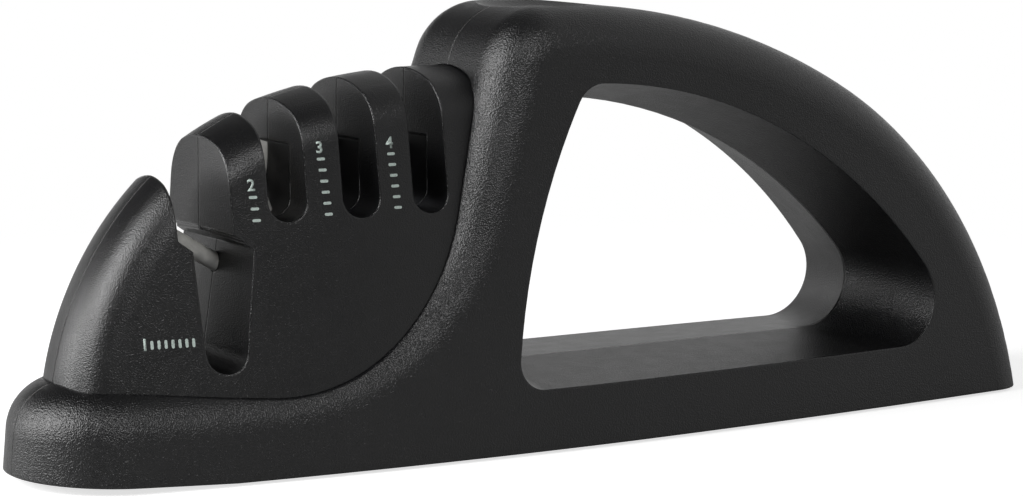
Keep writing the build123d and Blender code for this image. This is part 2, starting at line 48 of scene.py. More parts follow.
# The pieces, by what they are made of
CASE_HALVES = ("case_half_near", "case_half_far")
HEAD_HALVES = ("head_half_near", "head_half_far")
HOLDERS = ("fine_rod_holder", "coarse2_rod_holder", "coarse1_blade_holder")
CERAMIC_RODS = ("scissors_rod", "fine_rod_near", "fine_rod_far")
DIAMOND_RODS = ("coarse2_rod_near", "coarse2_rod_far")
BLADES = ("coarse1_blade_near", "coarse1_blade_far")
PLATED_SCREWS = ("case_screws", "head_screws", "base_plate_screws")
BLACK_SCREWS = ("coarse1_blade_screws",)
FEET = (
    "rubber_foot_front_near",
    "rubber_foot_front_far",
    "rubber_foot_rear_near",
    "rubber_foot_rear_far",
)

# Printed marks on the near flank of the head: the middle of the number and of the last
# bar in X and Z in millimetres, the number, how many bars follow it, and whether they
# follow in a level row
MARKS = {
    "mark_fine": ((-64.8, 50.3), (-64.3, 44.4), "2", 3, False),
    "mark_coarse2": ((-52.0, 56.2), (-51.2, 44.8), "3", 6, False),
    "mark_coarse1": ((-38.6, 56.4), (-37.9, 45.2), "4", 6, False),
    "mark_scissors": ((-84.9, 24.3), (-76.8, 24.4), "1", 7, True),
}

# The values between which most of a noise pattern lies. Below, a tint makes a colour
# lighter by its factor, and a shade makes it darker
NOISE_LOW = 0.3
NOISE_HIGH = 0.7

# Moulded plastics: rounding of the edges, how far the rounded normal agrees with the
# face's own at an edge and away from it, and the fine groove of the parting line, with
# painted shade in it
EDGE_ROUNDING = 0.55 * MM
AGREES_AT_EDGE = 0.93
AGREES_ON_FACE = 0.995
GROOVE_HALF_WIDTH = 0.06 * MM
GROOVE_SHOULDER = 0.2 * MM
GROOVE_DEPTH = 0.12 * MM
# Painted shade in the parting line's groove, as a share of the plastic's colour
GROOVE_PAINTED_SHADE = 0.25

# How deep each mould is eroded, and how rough the plastic from it is. The grain's width
# is a setting for the two outer moulds. All plastics are clouded and worn in patches
CASE_SAND_DEPTH = 0.075 * MM
CASE_ROUGHNESS = 0.3
HEAD_SAND_DEPTH = 0.045 * MM
HEAD_ROUGHNESS = 0.31
PLATE_GRAIN = 0.25 * MM
PLATE_SAND_DEPTH = 0.012 * MM
PLATE_ROUGHNESS = 0.42
HOLDER_GRAIN = 0.3 * MM
HOLDER_SAND_DEPTH = 0.01 * MM
HOLDER_ROUGHNESS = 0.45
HIDDEN_WEAR = 0.2
CLOUD_WIDTH = 22 * MM
CLOUD_TINT = 1.35
PATCH_WIDTH = 4 * MM
PATCH_SMOOTHER = 0.01
PATCH_ROUGHER = 0.02
WORN_TINT = 5.0
SMOOTHEST = 0.12
PITS_PER_GRAIN = 1.2
PIT_DEPTH_SHARE = 0.8
ABS_IOR = 1.54

# Ground ceramic: its mottling, the steel that has rubbed off on it, and grinding marks
MOTTLE_WIDTH = 1.6 * MM
MOTTLE_SHADE = 0.82
STREAK_WIDTH = 5 * MM
STREAK_COLOUR = "#8f9092"
STREAK_LIMITS = (0.52, 0.75)
STREAK_SHARE = 0.5
GRINDING_WIDTH = 0.16 * MM
GRINDING_DEPTH = 0.01 * MM
CERAMIC_ROUGHNESS = (0.42, 0.55)
ALUMINA_IOR = 1.76

# Metals: width and depth of the grain, and roughness. The real diamond grit of about
# 0.05 mm is too fine to show, so it is drawn 0.15 mm wide
DIAMOND_FINISH = (0.15 * MM, 0.04 * MM, 0.45)
CARBIDE_FINISH = (0.1 * MM, 0.006 * MM, 0.3)
ZINC_FINISH = (0.2 * MM, 0.004 * MM, 0.3)
BLACK_OXIDE_FINISH = (0.2 * MM, 0.005 * MM, 0.45)
STAIN_WIDTH = 2.5 * MM
STAIN_LIMITS = (0.35, 0.7)
STAIN_SHADE = 0.7
STAIN_SMOOTHER = 0.05
STAIN_ROUGHER = 0.08

# Rubber of the feet
DUST_WIDTH = 1.2 * MM
DUST_LIMITS = (0.5, 0.8)
DUST_TINT = 2.2
PORE_WIDTH = 0.25 * MM
PORE_DEPTH = 0.02 * MM
RUBBER_ROUGHNESS = (0.72, 0.88)
RUBBER_IOR = 1.52

# Ink: the moulded grain below it, and the depth of its layer as a share of how far it
# stands out, which sinks it a little into the plastic
INK_GRAIN = 0.22 * MM
INK_GRAIN_DEPTH = 0.015 * MM
THIN_INK_LIMITS = (0.5, 0.75)
THIN_INK_SHADE = 0.55
INK_ROUGHNESS = (0.5, 0.65)
INK_IOR = 1.48
INK_LAYER_SHARE = 1.6

# Printed signs: font size and boldening as shares of a number's height, and where the
# lines of sight start that lay a sign on the head
FONT_SIZE_SHARE = 1.38
BOLD_SHARE = 0.035
BAR_CORNERS = 24
SAME_POINT = 0.001 * MM
SIGHT_START = -0.1

# Sockets of a mix node: its share, its two colours and their result, and its two values
SHARE = 0
FIRST_COLOUR = 6
SECOND_COLOUR = 7
MIXED_COLOUR = 2
FIRST_VALUE = 2
SECOND_VALUE = 3

# Soft lamps, in metres: place, the point that each shines at, its width and height, and
# the setting with its power. They stand where the highlights of the photo reflect to
LAMPS = {
    "Side lamp": ((-1.15, 0.06, 0.7), (0, 0, 0.04), (0.75, 0.8), "side_power"),
    "Nose lamp": ((-0.24, 0.115, 0.065), (-0.09, 0, 0.03), (0.07, 0.09), "nose_power"),
    "Top lamp": ((-0.25, -0.9, 0.75), (0, 0, 0.03), (0.4, 0.4), "top_power"),
}

# The floor turns to plain white between these distances from the object, in metres
FLOOR_HALF_SIZE = 4
FLOOR_NEAR = 0.14
FLOOR_FAR = 0.3
FLOOR_GLOW = 0.72
FLOOR_ROUGHNESS = 0.9
SPECK_WIDTH = 3 * MM
SPECK_SHADE = 0.985

# Strength of the soft light that comes from all round
FILL_LIGHT = 0.1

# The camera that the photograph was taken with: metres, degrees and millimetres
CAMERA_PLACE = (-0.2903, -0.4724, 0.1110)
CAMERA_AZIMUTH = 31.12
CAMERA_FALL = 7.98
CAMERA_LENS = 105.57
CAMERA_SENSOR = 36.0
CAMERA_CLIP_START = 0.01
CAMERA_CLIP_END = 20.0


def linear(code):
    """An sRGB hex colour as the linear one that Blender works in."""
    values = [int(code[place:place + 2], 16) / 255 for place in (1, 3, 5)]
    return [v / 12.92 if v <= 0.04045 else ((v + 0.055) / 1.055) ** 2.4 for v in values] + [1.0]


def add(tree, kind, inputs=None, **settings):
    """Adds one node with its settings and links.

    An input is a plain value, an output of another node, or a node for its first output.
    """
    node = tree.nodes.new(kind)
    for name, value in settings.items():
        setattr(node, name, value)
    for key, value in (inputs or {}).items():
        if isinstance(value, bpy.types.Node):
            value = value.outputs[0]
        if isinstance(value, bpy.types.NodeSocket):
            tree.links.new(value, node.inputs[key])
        else:
            node.inputs[key].default_value = value
    return node


def scaled(colour, factor):
    """A colour made lighter or darker by a factor."""
    return [min(value * factor, 1.0) for value in colour[:3]] + [1.0]


def new_material(name):
    """An empty node material."""
    made = bpy.data.materials.new(name)
    made.use_nodes = True
    made.node_tree.nodes.clear()
    return made


def tinted(tree, pattern, limits, first, second, most=1.0):
    """The first colour below a pattern's limits, and the second above, at most by a share."""
    share = add(
        tree, "ShaderNodeMapRange",
        {"Value": pattern, "From Min": limits[0], "From Max": limits[1], "To Max": most},
        interpolation_type="SMOOTHSTEP")
    return add(
        tree, "ShaderNodeMix", {SHARE: share, FIRST_COLOUR: first, SECOND_COLOUR: second},
        data_type="RGBA").outputs[MIXED_COLOUR]


def grained(tree, place, width, detail, depth, strength):
    """The normal of a surface with a grain of a width and a depth."""
    grain = add(
        tree, "ShaderNodeTexNoise", {"Vector": place, "Scale": 1 / width, "Detail": detail})
    return add(
        tree, "ShaderNodeBump", {"Height": grain, "Distance": depth, "Strength": strength})


def edge_share(tree, rounded):
    """1 on an edge and 0 away from it, from how far the rounded normal leaves the face."""
    true = add(tree, "ShaderNodeNewGeometry").outputs["Normal"]
    product = add(tree, "ShaderNodeVectorMath", {0: rounded, 1: true}, operation="DOT_PRODUCT")
    return add(
        tree, "ShaderNodeMapRange",
        {"Value": product.outputs["Value"], "From Min": AGREES_AT_EDGE, "From Max": AGREES_ON_FACE,
         "To Min": 1.0, "To Max": 0.0},
        interpolation_type="SMOOTHSTEP")


def beside_parting_line(tree, place):
    """0 in the groove of the parting line, which is the plane between the halves, else 1; it sinks
    the groove and places the painted shade in it.
    """
    across = add(tree, "ShaderNodeSeparateXYZ", {0: place}).outputs["Y"]
    away = add(tree, "ShaderNodeMath", {0: across}, operation="ABSOLUTE")
    return add(
        tree, "ShaderNodeMapRange",
        {"Value": away, "From Min": GROOVE_HALF_WIDTH, "From Max": GROOVE_SHOULDER},
        interpolation_type="SMOOTHSTEP")


def sandy_normal(tree, place, rounded, flush_unshaded, grain, depth):
    """The normal of rounded edges, the parting line's groove, and the sand and pits on them."""
    sand = add(
        tree, "ShaderNodeTexNoise", {"Vector": place, "Scale": 1 / grain, "Detail": 1.5})
    pits = add(tree, "ShaderNodeTexVoronoi", {"Vector": place, "Scale": PITS_PER_GRAIN / grain})
    layers = ((flush_unshaded, GROOVE_DEPTH), (sand, depth), (pits, depth * PIT_DEPTH_SHARE))
    normal = rounded
    for height, distance in layers:
        normal = add(
            tree, "ShaderNodeBump",
            {"Height": height, "Distance": distance, "Strength": 1.0, "Normal": normal})
    return normal


def plastic_tone(tree, place, colour, rubbed, wear, flush_unshaded):
    """The plastic's colour: clouded, paler where it is rubbed, and with painted shade in the
    parting line's groove.
    """
    cloud = add(
        tree, "ShaderNodeTexNoise", {"Vector": place, "Scale": 1 / CLOUD_WIDTH, "Detail": 3.0})
    tone = tinted(tree, cloud, (NOISE_LOW, NOISE_HIGH), colour, scaled(colour, CLOUD_TINT))
    worn = add(tree, "ShaderNodeMath", {0: rubbed, 1: wear}, operation="MULTIPLY")
    handled = add(
        tree, "ShaderNodeMix",
        {SHARE: worn, FIRST_COLOUR: tone, SECOND_COLOUR: scaled(colour, WORN_TINT)},
        data_type="RGBA").outputs[MIXED_COLOUR]
    # Painted shade: the colour is darkened in the groove of the parting line
    return add(
        tree, "ShaderNodeMix",
        {SHARE: flush_unshaded, FIRST_COLOUR: scaled(colour, GROOVE_PAINTED_SHADE), SECOND_COLOUR: handled},
        data_type="RGBA").outputs[MIXED_COLOUR]


def moulded_plastic(name, colour, grain, depth, roughness, wear):
    """ABS or nylon, injection moulded in a spark eroded mould, with a parting line.

    The eroded mould leaves a sandy grain, which breaks highlights into sparks. Edges are
    rubbed smoother and paler by hands, and the parting line is a fine groove with painted
    shade in it.
    """
    made = new_material(name)
    tree = made.node_tree
    place = add(tree, "ShaderNodeTexCoord").outputs["Object"]
    rounded = add(tree, "ShaderNodeBevel", {"Radius": EDGE_ROUNDING}, samples=6)
    patch = add(
        tree, "ShaderNodeTexNoise", {"Vector": place, "Scale": 1 / PATCH_WIDTH, "Detail": 2.0})
    edge = edge_share(tree, rounded)
    rubbed = add(tree, "ShaderNodeMath", {0: edge, 1: patch}, operation="MULTIPLY")
    flush_unshaded = beside_parting_line(tree, place)
    uneven = add(
        tree, "ShaderNodeMapRange",
        {"Value": patch, "From Min": NOISE_LOW, "From Max": NOISE_HIGH,
         "To Min": roughness - PATCH_SMOOTHER, "To Max": roughness + PATCH_ROUGHER},
        interpolation_type="SMOOTHSTEP")
    smoothed = add(
        tree, "ShaderNodeMath", {0: uneven, 1: rubbed}, operation="SUBTRACT", use_clamp=True)
    matt = add(
        tree, "ShaderNodeMapRange", {"Value": smoothed, "To Min": SMOOTHEST},
        interpolation_type="SMOOTHSTEP")
    surface = add(tree, "ShaderNodeBsdfPrincipled", {
        "Base Color": plastic_tone(tree, place, colour, rubbed, wear, flush_unshaded),
        "Roughness": matt, "IOR": ABS_IOR,
        "Normal": sandy_normal(tree, place, rounded, flush_unshaded, grain, depth)})
    add(tree, "ShaderNodeOutputMaterial", {"Surface": surface})
    return made


def ground_ceramic(name, colour):
    """Alumina ceramic, sintered and ground round.

    It is pale, dense and faintly mottled, with fine marks from the grinding wheel and a
    grey streak where steel has rubbed off.
    """
    made = new_material(name)
    tree = made.node_tree
    place = add(tree, "ShaderNodeTexCoord").outputs["Object"]
    mottle = add(
        tree, "ShaderNodeTexNoise", {"Vector": place, "Scale": 1 / MOTTLE_WIDTH, "Detail": 4.0})
    streak = add(
        tree, "ShaderNodeTexNoise", {"Vector": place, "Scale": 1 / STREAK_WIDTH, "Detail": 1.0})
    tone = tinted(tree, mottle, (NOISE_LOW, NOISE_HIGH), colour, scaled(colour, MOTTLE_SHADE))
    tone = tinted(tree, streak, STREAK_LIMITS, tone, linear(STREAK_COLOUR), STREAK_SHARE)
    matt = add(
        tree, "ShaderNodeMapRange",
        {"Value": mottle, "From Min": NOISE_LOW, "From Max": NOISE_HIGH,
         "To Min": CERAMIC_ROUGHNESS[0], "To Max": CERAMIC_ROUGHNESS[1]},
        interpolation_type="SMOOTHSTEP")
    surface = add(tree, "ShaderNodeBsdfPrincipled", {
        "Base Color": tone, "Roughness": matt, "IOR": ALUMINA_IOR,
        "Normal": grained(tree, place, GRINDING_WIDTH, 2.0, GRINDING_DEPTH, 0.8)})
    add(tree, "ShaderNodeOutputMaterial", {"Surface": surface})
    return made


def worked_metal(name, colour, grain, depth, roughness):
    """Metal with a worked surface, such as ground, plated or grit coated.

    It is a plain metal whose grain scatters its shine; the grain's width and depth are
    those of the tool marks or the grit.
    """
    made = new_material(name)
    tree = made.node_tree
    place = add(tree, "ShaderNodeTexCoord").outputs["Object"]
    stain = add(
        tree, "ShaderNodeTexNoise", {"Vector": place, "Scale": 1 / STAIN_WIDTH, "Detail": 2.0})
    matt = add(
        tree, "ShaderNodeMapRange",
        {"Value": stain, "From Min": NOISE_LOW, "From Max": NOISE_HIGH,
         "To Min": roughness - STAIN_SMOOTHER, "To Max": roughness + STAIN_ROUGHER},
        interpolation_type="SMOOTHSTEP")
    surface = add(tree, "ShaderNodeBsdfPrincipled", {
        "Base Color": tinted(tree, stain, STAIN_LIMITS, colour, scaled(colour, STAIN_SHADE)),
        "Roughness": matt, "Metallic": 1.0,
        "Normal": grained(tree, place, grain, 3.0, depth, 1.0)})
    add(tree, "ShaderNodeOutputMaterial", {"Surface": surface})
    return made


def moulded_rubber(name, colour):
    """Synthetic rubber, compression moulded.

    It is a dull dark grey with dust in its pores, and has almost no highlight.
    """
    made = new_material(name)
    tree = made.node_tree
    place = add(tree, "ShaderNodeTexCoord").outputs["Object"]
    dust = add(
        tree, "ShaderNodeTexNoise", {"Vector": place, "Scale": 1 / DUST_WIDTH, "Detail": 4.0})
    matt = add(
        tree, "ShaderNodeMapRange",
        {"Value": dust, "From Min": NOISE_LOW, "From Max": NOISE_HIGH,
         "To Min": RUBBER_ROUGHNESS[0], "To Max": RUBBER_ROUGHNESS[1]},
        interpolation_type="SMOOTHSTEP")
    surface = add(tree, "ShaderNodeBsdfPrincipled", {
        "Base Color": tinted(tree, dust, DUST_LIMITS, colour, scaled(colour, DUST_TINT)),
        "Roughness": matt, "IOR": RUBBER_IOR,
        "Normal": grained(tree, place, PORE_WIDTH, 2.0, PORE_DEPTH, 0.9)})
    add(tree, "ShaderNodeOutputMaterial", {"Surface": surface})
    return made


def printed_ink(name, colour):
    """Ink, pad printed on the moulded grain.

    The grain below it shows as small thin spots at which the ink is a little darker.
    """
    made = new_material(name)
    tree = made.node_tree
    place = add(tree, "ShaderNodeTexCoord").outputs["Object"]
    thin = add(
        tree, "ShaderNodeTexNoise", {"Vector": place, "Scale": 1 / INK_GRAIN, "Detail": 2.0})
    normal = add(
        tree, "ShaderNodeBump", {"Height": thin, "Distance": INK_GRAIN_DEPTH, "Strength": 0.8})
    matt = add(
        tree, "ShaderNodeMapRange",
        {"Value": thin, "From Min": NOISE_LOW, "From Max": NOISE_HIGH,
         "To Min": INK_ROUGHNESS[0], "To Max": INK_ROUGHNESS[1]},
        interpolation_type="SMOOTHSTEP")
    surface = add(tree, "ShaderNodeBsdfPrincipled", {
        "Base Color": tinted(tree, thin, THIN_INK_LIMITS, colour, scaled(colour, THIN_INK_SHADE)),
        "Roughness": matt, "IOR": INK_IOR, "Normal": normal})
    add(tree, "ShaderNodeOutputMaterial", {"Surface": surface})
    return made


def put_on(names, made):
    """Gives the material to every slot of the named CAD parts."""
    for name in names:
        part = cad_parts[name]
        for place in range(len(part.material_slots)):
            part.material_slots[place].material = made
        if not part.material_slots:
            part.data.materials.append(made)


class SharpenerPlastics(bpy.types.PropertyGroup):
    """Colours and grains of the moulded plastics."""

    case_colour: bpy.props.FloatVectorProperty(
        name="Case colour", description="Colour of the outer case", subtype="COLOR",
        size=4, min=0.0, max=1.0, default=linear("#0b0b0c"))
    head_colour: bpy.props.FloatVectorProperty(
        name="Head colour", description="Colour of the head with the slots", subtype="COLOR",
        size=4, min=0.0, max=1.0, default=linear("#0a0a0b"))
    case_grain: bpy.props.FloatProperty(
        name="Case grain", description="Width of the sandy grain on the case",
        unit="LENGTH", default=0.32 * MM)
    head_grain: bpy.props.FloatProperty(
        name="Head grain", description="Width of the finer grain on the head",
        unit="LENGTH", default=0.3 * MM)
    wear: bpy.props.FloatProperty(
        name="Edge wear", description="How much the edges are rubbed", subtype="FACTOR",
        min=0.0, max=1.0, default=0.5)


class SharpenerElements(bpy.types.PropertyGroup):
    """Colours of what sharpens, of the metal parts and of the feet."""

    ceramic: bpy.props.FloatVectorProperty(
        name="Ceramic", description="Colour of the ceramic rods", subtype="COLOR",
        size=4, min=0.0, max=1.0, default=linear("#c9c8c3"))
    diamond: bpy.props.FloatVectorProperty(
        name="Diamond coat", description="Colour of the grit coated rods", subtype="COLOR",
        size=4, min=0.0, max=1.0, default=linear("#77777a"))
    carbide: bpy.props.FloatVectorProperty(
        name="Carbide", description="Colour of the carbide blades", subtype="COLOR",
        size=4, min=0.0, max=1.0, default=linear("#6f7074"))
    zinc: bpy.props.FloatVectorProperty(
        name="Zinc", description="Colour of the zinc plated screws", subtype="COLOR",
        size=4, min=0.0, max=1.0, default=linear("#bcbdb9"))
    black_oxide: bpy.props.FloatVectorProperty(
        name="Black oxide", description="Colour of the set screws", subtype="COLOR",
        size=4, min=0.0, max=1.0, default=linear("#2b2b2d"))
    rubber: bpy.props.FloatVectorProperty(
        name="Rubber", description="Colour of the feet", subtype="COLOR",
        size=4, min=0.0, max=1.0, default=linear("#1d1d1d"))


class SharpenerMarks(bpy.types.PropertyGroup):
    """Sizes and colour of the printed numbers and bars."""

    ink: bpy.props.FloatVectorProperty(
        name="Ink", description="Colour of the print", subtype="COLOR",
        size=4, min=0.0, max=1.0, default=linear("#b7c4be"))
    height: bpy.props.FloatProperty(
        name="Number height", description="Height of a printed number",
        unit="LENGTH", default=2.0 * MM)
    bar_length: bpy.props.FloatProperty(
        name="Bar length", description="Length of a printed bar",
        unit="LENGTH", default=1.5 * MM)
    bar_width: bpy.props.FloatProperty(
        name="Bar width", description="Width of a printed bar",
        unit="LENGTH", default=0.5 * MM)
    thickness: bpy.props.FloatProperty(
        name="Ink thickness", description="How far the ink stands on the plastic",
        unit="LENGTH", default=0.03 * MM)


class SharpenerStudio(bpy.types.PropertyGroup):
    """Floor and lamps of the studio."""

    floor: bpy.props.FloatVectorProperty(
        name="Floor", description="Colour of the floor", subtype="COLOR",
        size=4, min=0.0, max=1.0, default=linear("#c9c9c9"))
    side_power: bpy.props.FloatProperty(
        name="Side lamp", description="Power of the soft lamp beside the nose",
        unit="POWER", default=18.5)
    nose_power: bpy.props.FloatProperty(
        name="Nose lamp", description="Power of the small lamp close behind the nose",
        unit="POWER", default=0.15)
    top_power: bpy.props.FloatProperty(
        name="Top lamp", description="Power of the soft lamp above",
        unit="POWER", default=4.0)


class SHARPENER_OT_case(bpy.types.Operator):
    """Finishes both halves of the outer case"""

    bl_idname = "sharpener.case"
    bl_label = "Case"

    def execute(self, context):
        look = context.scene.sharpener_plastics
        made = moulded_plastic(
            "ABS injection moulded coarse spark eroded", list(look.case_colour),
            look.case_grain, CASE_SAND_DEPTH, CASE_ROUGHNESS, look.wear)
        put_on(CASE_HALVES, made)
        return {"FINISHED"}


class SHARPENER_OT_head(bpy.types.Operator):
    """Finishes both halves of the head"""

    bl_idname = "sharpener.head"
    bl_label = "Head"

    def execute(self, context):
        look = context.scene.sharpener_plastics
        made = moulded_plastic(
            "ABS injection moulded fine spark eroded", list(look.head_colour),
            look.head_grain, HEAD_SAND_DEPTH, HEAD_ROUGHNESS, look.wear)
        put_on(HEAD_HALVES, made)
        return {"FINISHED"}


class SHARPENER_OT_base_plate(bpy.types.Operator):
    """Finishes the plate that closes the underside"""

    bl_idname = "sharpener.base_plate"
    bl_label = "Base plate"

    def execute(self, context):
        look = context.scene.sharpener_plastics
        made = moulded_plastic(
            "ABS injection moulded satin", list(look.case_colour),
            PLATE_GRAIN, PLATE_SAND_DEPTH, PLATE_ROUGHNESS, HIDDEN_WEAR)
        put_on(("base_plate",), made)
        return {"FINISHED"}


class SHARPENER_OT_feet(bpy.types.Operator):
    """Finishes the four rubber feet"""

    bl_idname = "sharpener.feet"
    bl_label = "Rubber feet"

    def execute(self, context):
        look = context.scene.sharpener_elements
        put_on(FEET, moulded_rubber("Rubber compression moulded", list(look.rubber)))
        return {"FINISHED"}


class SHARPENER_OT_rods(bpy.types.Operator):
    """Finishes the ceramic and the diamond coated rods"""

    bl_idname = "sharpener.rods"
    bl_label = "Rods"

    def execute(self, context):
        look = context.scene.sharpener_elements
        put_on(CERAMIC_RODS, ground_ceramic("Alumina ceramic ground", list(look.ceramic)))
        coated = worked_metal("Steel diamond grit coated", list(look.diamond), *DIAMOND_FINISH)
        put_on(DIAMOND_RODS, coated)
        return {"FINISHED"}


class SHARPENER_OT_blades(bpy.types.Operator):
    """Finishes the two carbide blades"""

    bl_idname = "sharpener.blades"
    bl_label = "Carbide blades"

    def execute(self, context):
        look = context.scene.sharpener_elements
        made = worked_metal("Tungsten carbide ground", list(look.carbide), *CARBIDE_FINISH)
        put_on(BLADES, made)
        return {"FINISHED"}


class SHARPENER_OT_holders(bpy.types.Operator):
    """Finishes the blocks that hold the rods and blades"""

    bl_idname = "sharpener.holders"
    bl_label = "Holders"

    def execute(self, context):
        look = context.scene.sharpener_plastics
        made = moulded_plastic(
            "Nylon injection moulded satin", list(look.head_colour),
            HOLDER_GRAIN, HOLDER_SAND_DEPTH, HOLDER_ROUGHNESS, HIDDEN_WEAR)
        put_on(HOLDERS, made)
        return {"FINISHED"}


class SHARPENER_OT_screws(bpy.types.Operator):
    """Finishes all screws"""

    bl_idname = "sharpener.screws"
    bl_label = "Screws"

    def execute(self, context):
        look = context.scene.sharpener_elements
        plated = worked_metal("Steel zinc plated", list(look.zinc), *ZINC_FINISH)
        put_on(PLATED_SCREWS, plated)
        blackened = worked_metal(
            "Steel black oxide", list(look.black_oxide), *BLACK_OXIDE_FINISH)
        put_on(BLACK_SCREWS, blackened)
        return {"FINISHED"}


def number_mesh(sign, height):
    """A flat mesh of one number, centred, in its own X and Y."""
    curve = bpy.data.curves.new("number", "FONT")
    curve.body = sign
    curve.align_x = "CENTER"
    curve.align_y = "CENTER"
    curve.size = height * FONT_SIZE_SHARE
    curve.offset = height * BOLD_SHARE
    holder = bpy.data.objects.new("number", curve)
    bpy.context.scene.collection.objects.link(holder)
    bpy.context.view_layer.update()
    flat = bpy.data.meshes.new_from_object(holder)
    bpy.data.objects.remove(holder)
    bpy.data.curves.remove(curve)
    return flat


def add_bar(flat, centre, width, height):
    """Adds a flat bar with round ends to a mesh."""
    radius = min(width, height) / 2
    corners = []
    for step in range(BAR_CORNERS):
        angle = 2 * math.pi * (step + 0.5) / BAR_CORNERS
        x = math.copysign(width / 2 - radius, math.cos(angle)) + math.cos(angle) * radius
        y = math.copysign(height / 2 - radius, math.sin(angle)) + math.sin(angle) * radius
        corners.append(flat.verts.new((centre[0] + x, centre[1] + y, 0.0)))
    flat.faces.new(corners)


def flat_mark(step, sign, count, level, look):
    """A number and the bars that follow it at equal steps, flat in X and Y."""
    flat = bmesh.new()
    source = number_mesh(sign, look.height)
    flat.from_mesh(source)
    bpy.data.meshes.remove(source)
    size = (look.bar_width, look.bar_length) if level else (look.bar_length, look.bar_width)
    for place in range(1, count + 1):
        add_bar(flat, step * place, size[0], size[1])
    bmesh.ops.remove_doubles(flat, verts=flat.verts, dist=SAME_POINT)
    return flat


def lay_on_surface(flat, start, surface, thickness):
    """Moves a flat mark onto the near side of a surface, on which the ink stands."""
    for point in flat.verts:
        origin = Vector((start.x + point.co.x, SIGHT_START, start.y + point.co.y))
        hit, normal = surface.ray_cast(origin, Vector((0, 1, 0)))[:2]
        if hit is None:
            raise RuntimeError("A printed mark doesn't lie on the head")
        point.co = hit + normal * thickness
    bmesh.ops.recalc_face_normals(flat, faces=flat.faces)
    if sum(face.normal.y * face.calc_area() for face in flat.faces) > 0:
        bmesh.ops.reverse_faces(flat, faces=flat.faces)


def print_on_head(name, mark, look, surface, ink):
    """Prints a number and a row of bars on the near flank of the head."""
    first, last, sign, count, level = mark
    start = Vector(first) * MM
    step = (Vector(last) * MM - start) / count
    flat = flat_mark(step, sign, count, level, look)
    lay_on_surface(flat, start, surface, look.thickness)
    mesh = bpy.data.meshes.new(name)
    flat.to_mesh(mesh)
    flat.free()
    mesh.materials.append(ink)
    piece = bpy.data.objects.new(name, mesh)
    bpy.context.scene.collection.objects.link(piece)
    layer = piece.modifiers.new("Ink", "SOLIDIFY")
    layer.thickness = look.thickness * INK_LAYER_SHARE
    layer.offset = -1.0
    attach(piece, "root")


class SHARPENER_OT_marks(bpy.types.Operator):
    """Prints a plain number and bars beside each slot"""

    bl_idname = "sharpener.marks"
    bl_label = "Printed marks"

    def execute(self, context):
        look = context.scene.sharpener_marks
        ink = printed_ink("Ink pad printed", list(look.ink))
        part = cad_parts["head_half_near"].data
        points = [v.co.copy() for v in part.vertices]
        surface = BVHTree.FromPolygons(points, [p.vertices[:] for p in part.polygons])
        for name, mark in MARKS.items():
            print_on_head(name, mark, look, surface, ink)
        return {"FINISHED"}


def studio_floor(look):
    """A pale floor that keeps the shadow and turns to plain white further out."""
    made = new_material("Floor painted matt white")
    tree = made.node_tree
    place = add(tree, "ShaderNodeTexCoord").outputs["Object"]
    speck = add(
        tree, "ShaderNodeTexNoise", {"Vector": place, "Scale": 1 / SPECK_WIDTH, "Detail": 2.0})
    tone = add(
        tree, "ShaderNodeMix",
        {SHARE: speck, FIRST_COLOUR: list(look.floor),
         SECOND_COLOUR: scaled(look.floor, SPECK_SHADE)},
        data_type="RGBA").outputs[MIXED_COLOUR]
    paint = add(
        tree, "ShaderNodeBsdfPrincipled", {"Base Color": tone, "Roughness": FLOOR_ROUGHNESS})
    white = add(tree, "ShaderNodeEmission", {"Color": linear("#ffffff"), "Strength": 1.0})
    glow = add(tree, "ShaderNodeEmission", {"Color": linear("#ffffff"), "Strength": FLOOR_GLOW})
    lit = add(tree, "ShaderNodeAddShader", {0: paint, 1: glow})
    distance = add(tree, "ShaderNodeVectorMath", {0: place}, operation="LENGTH").outputs["Value"]
    far = add(
        tree, "ShaderNodeMapRange",
        {"Value": distance, "From Min": FLOOR_NEAR, "From Max": FLOOR_FAR},
        interpolation_type="SMOOTHSTEP")
    seen = add(tree, "ShaderNodeMixShader", {0: far, 1: lit, 2: white})
    camera = add(tree, "ShaderNodeLightPath").outputs["Is Camera Ray"]
    surface = add(tree, "ShaderNodeMixShader", {0: camera, 1: paint, 2: seen})
    add(tree, "ShaderNodeOutputMaterial", {"Surface": surface})
    return made


def mirrored_backdrop(tree):
    """What shines back from the object: a pale wall behind it that brightens to the right."""
    direction = add(tree, "ShaderNodeTexCoord").outputs["Generated"]
    way = add(tree, "ShaderNodeSeparateXYZ", {0: direction}).outputs
    low = add(
        tree, "ShaderNodeMapRange",
        {"Value": way["Z"], "From Min": 0.12, "From Max": 0.32, "To Min": 1.0, "To Max": 0.0},
        interpolation_type="SMOOTHSTEP")
    behind = add(
        tree, "ShaderNodeMapRange",
        {"Value": way["Y"], "From Min": -0.2, "From Max": 0.5, "To Max": 0.85},
        interpolation_type="SMOOTHSTEP")
    right = add(
        tree, "ShaderNodeMapRange",
        {"Value": way["X"], "From Min": -0.1, "From Max": 0.8, "To Min": 0.02, "To Max": 0.62},
        interpolation_type="SMOOTHSTEP")
    wall = add(tree, "ShaderNodeMath", {0: low, 1: behind}, operation="MULTIPLY")
    return add(tree, "ShaderNodeMath", {0: wall, 1: right}, operation="MAXIMUM")


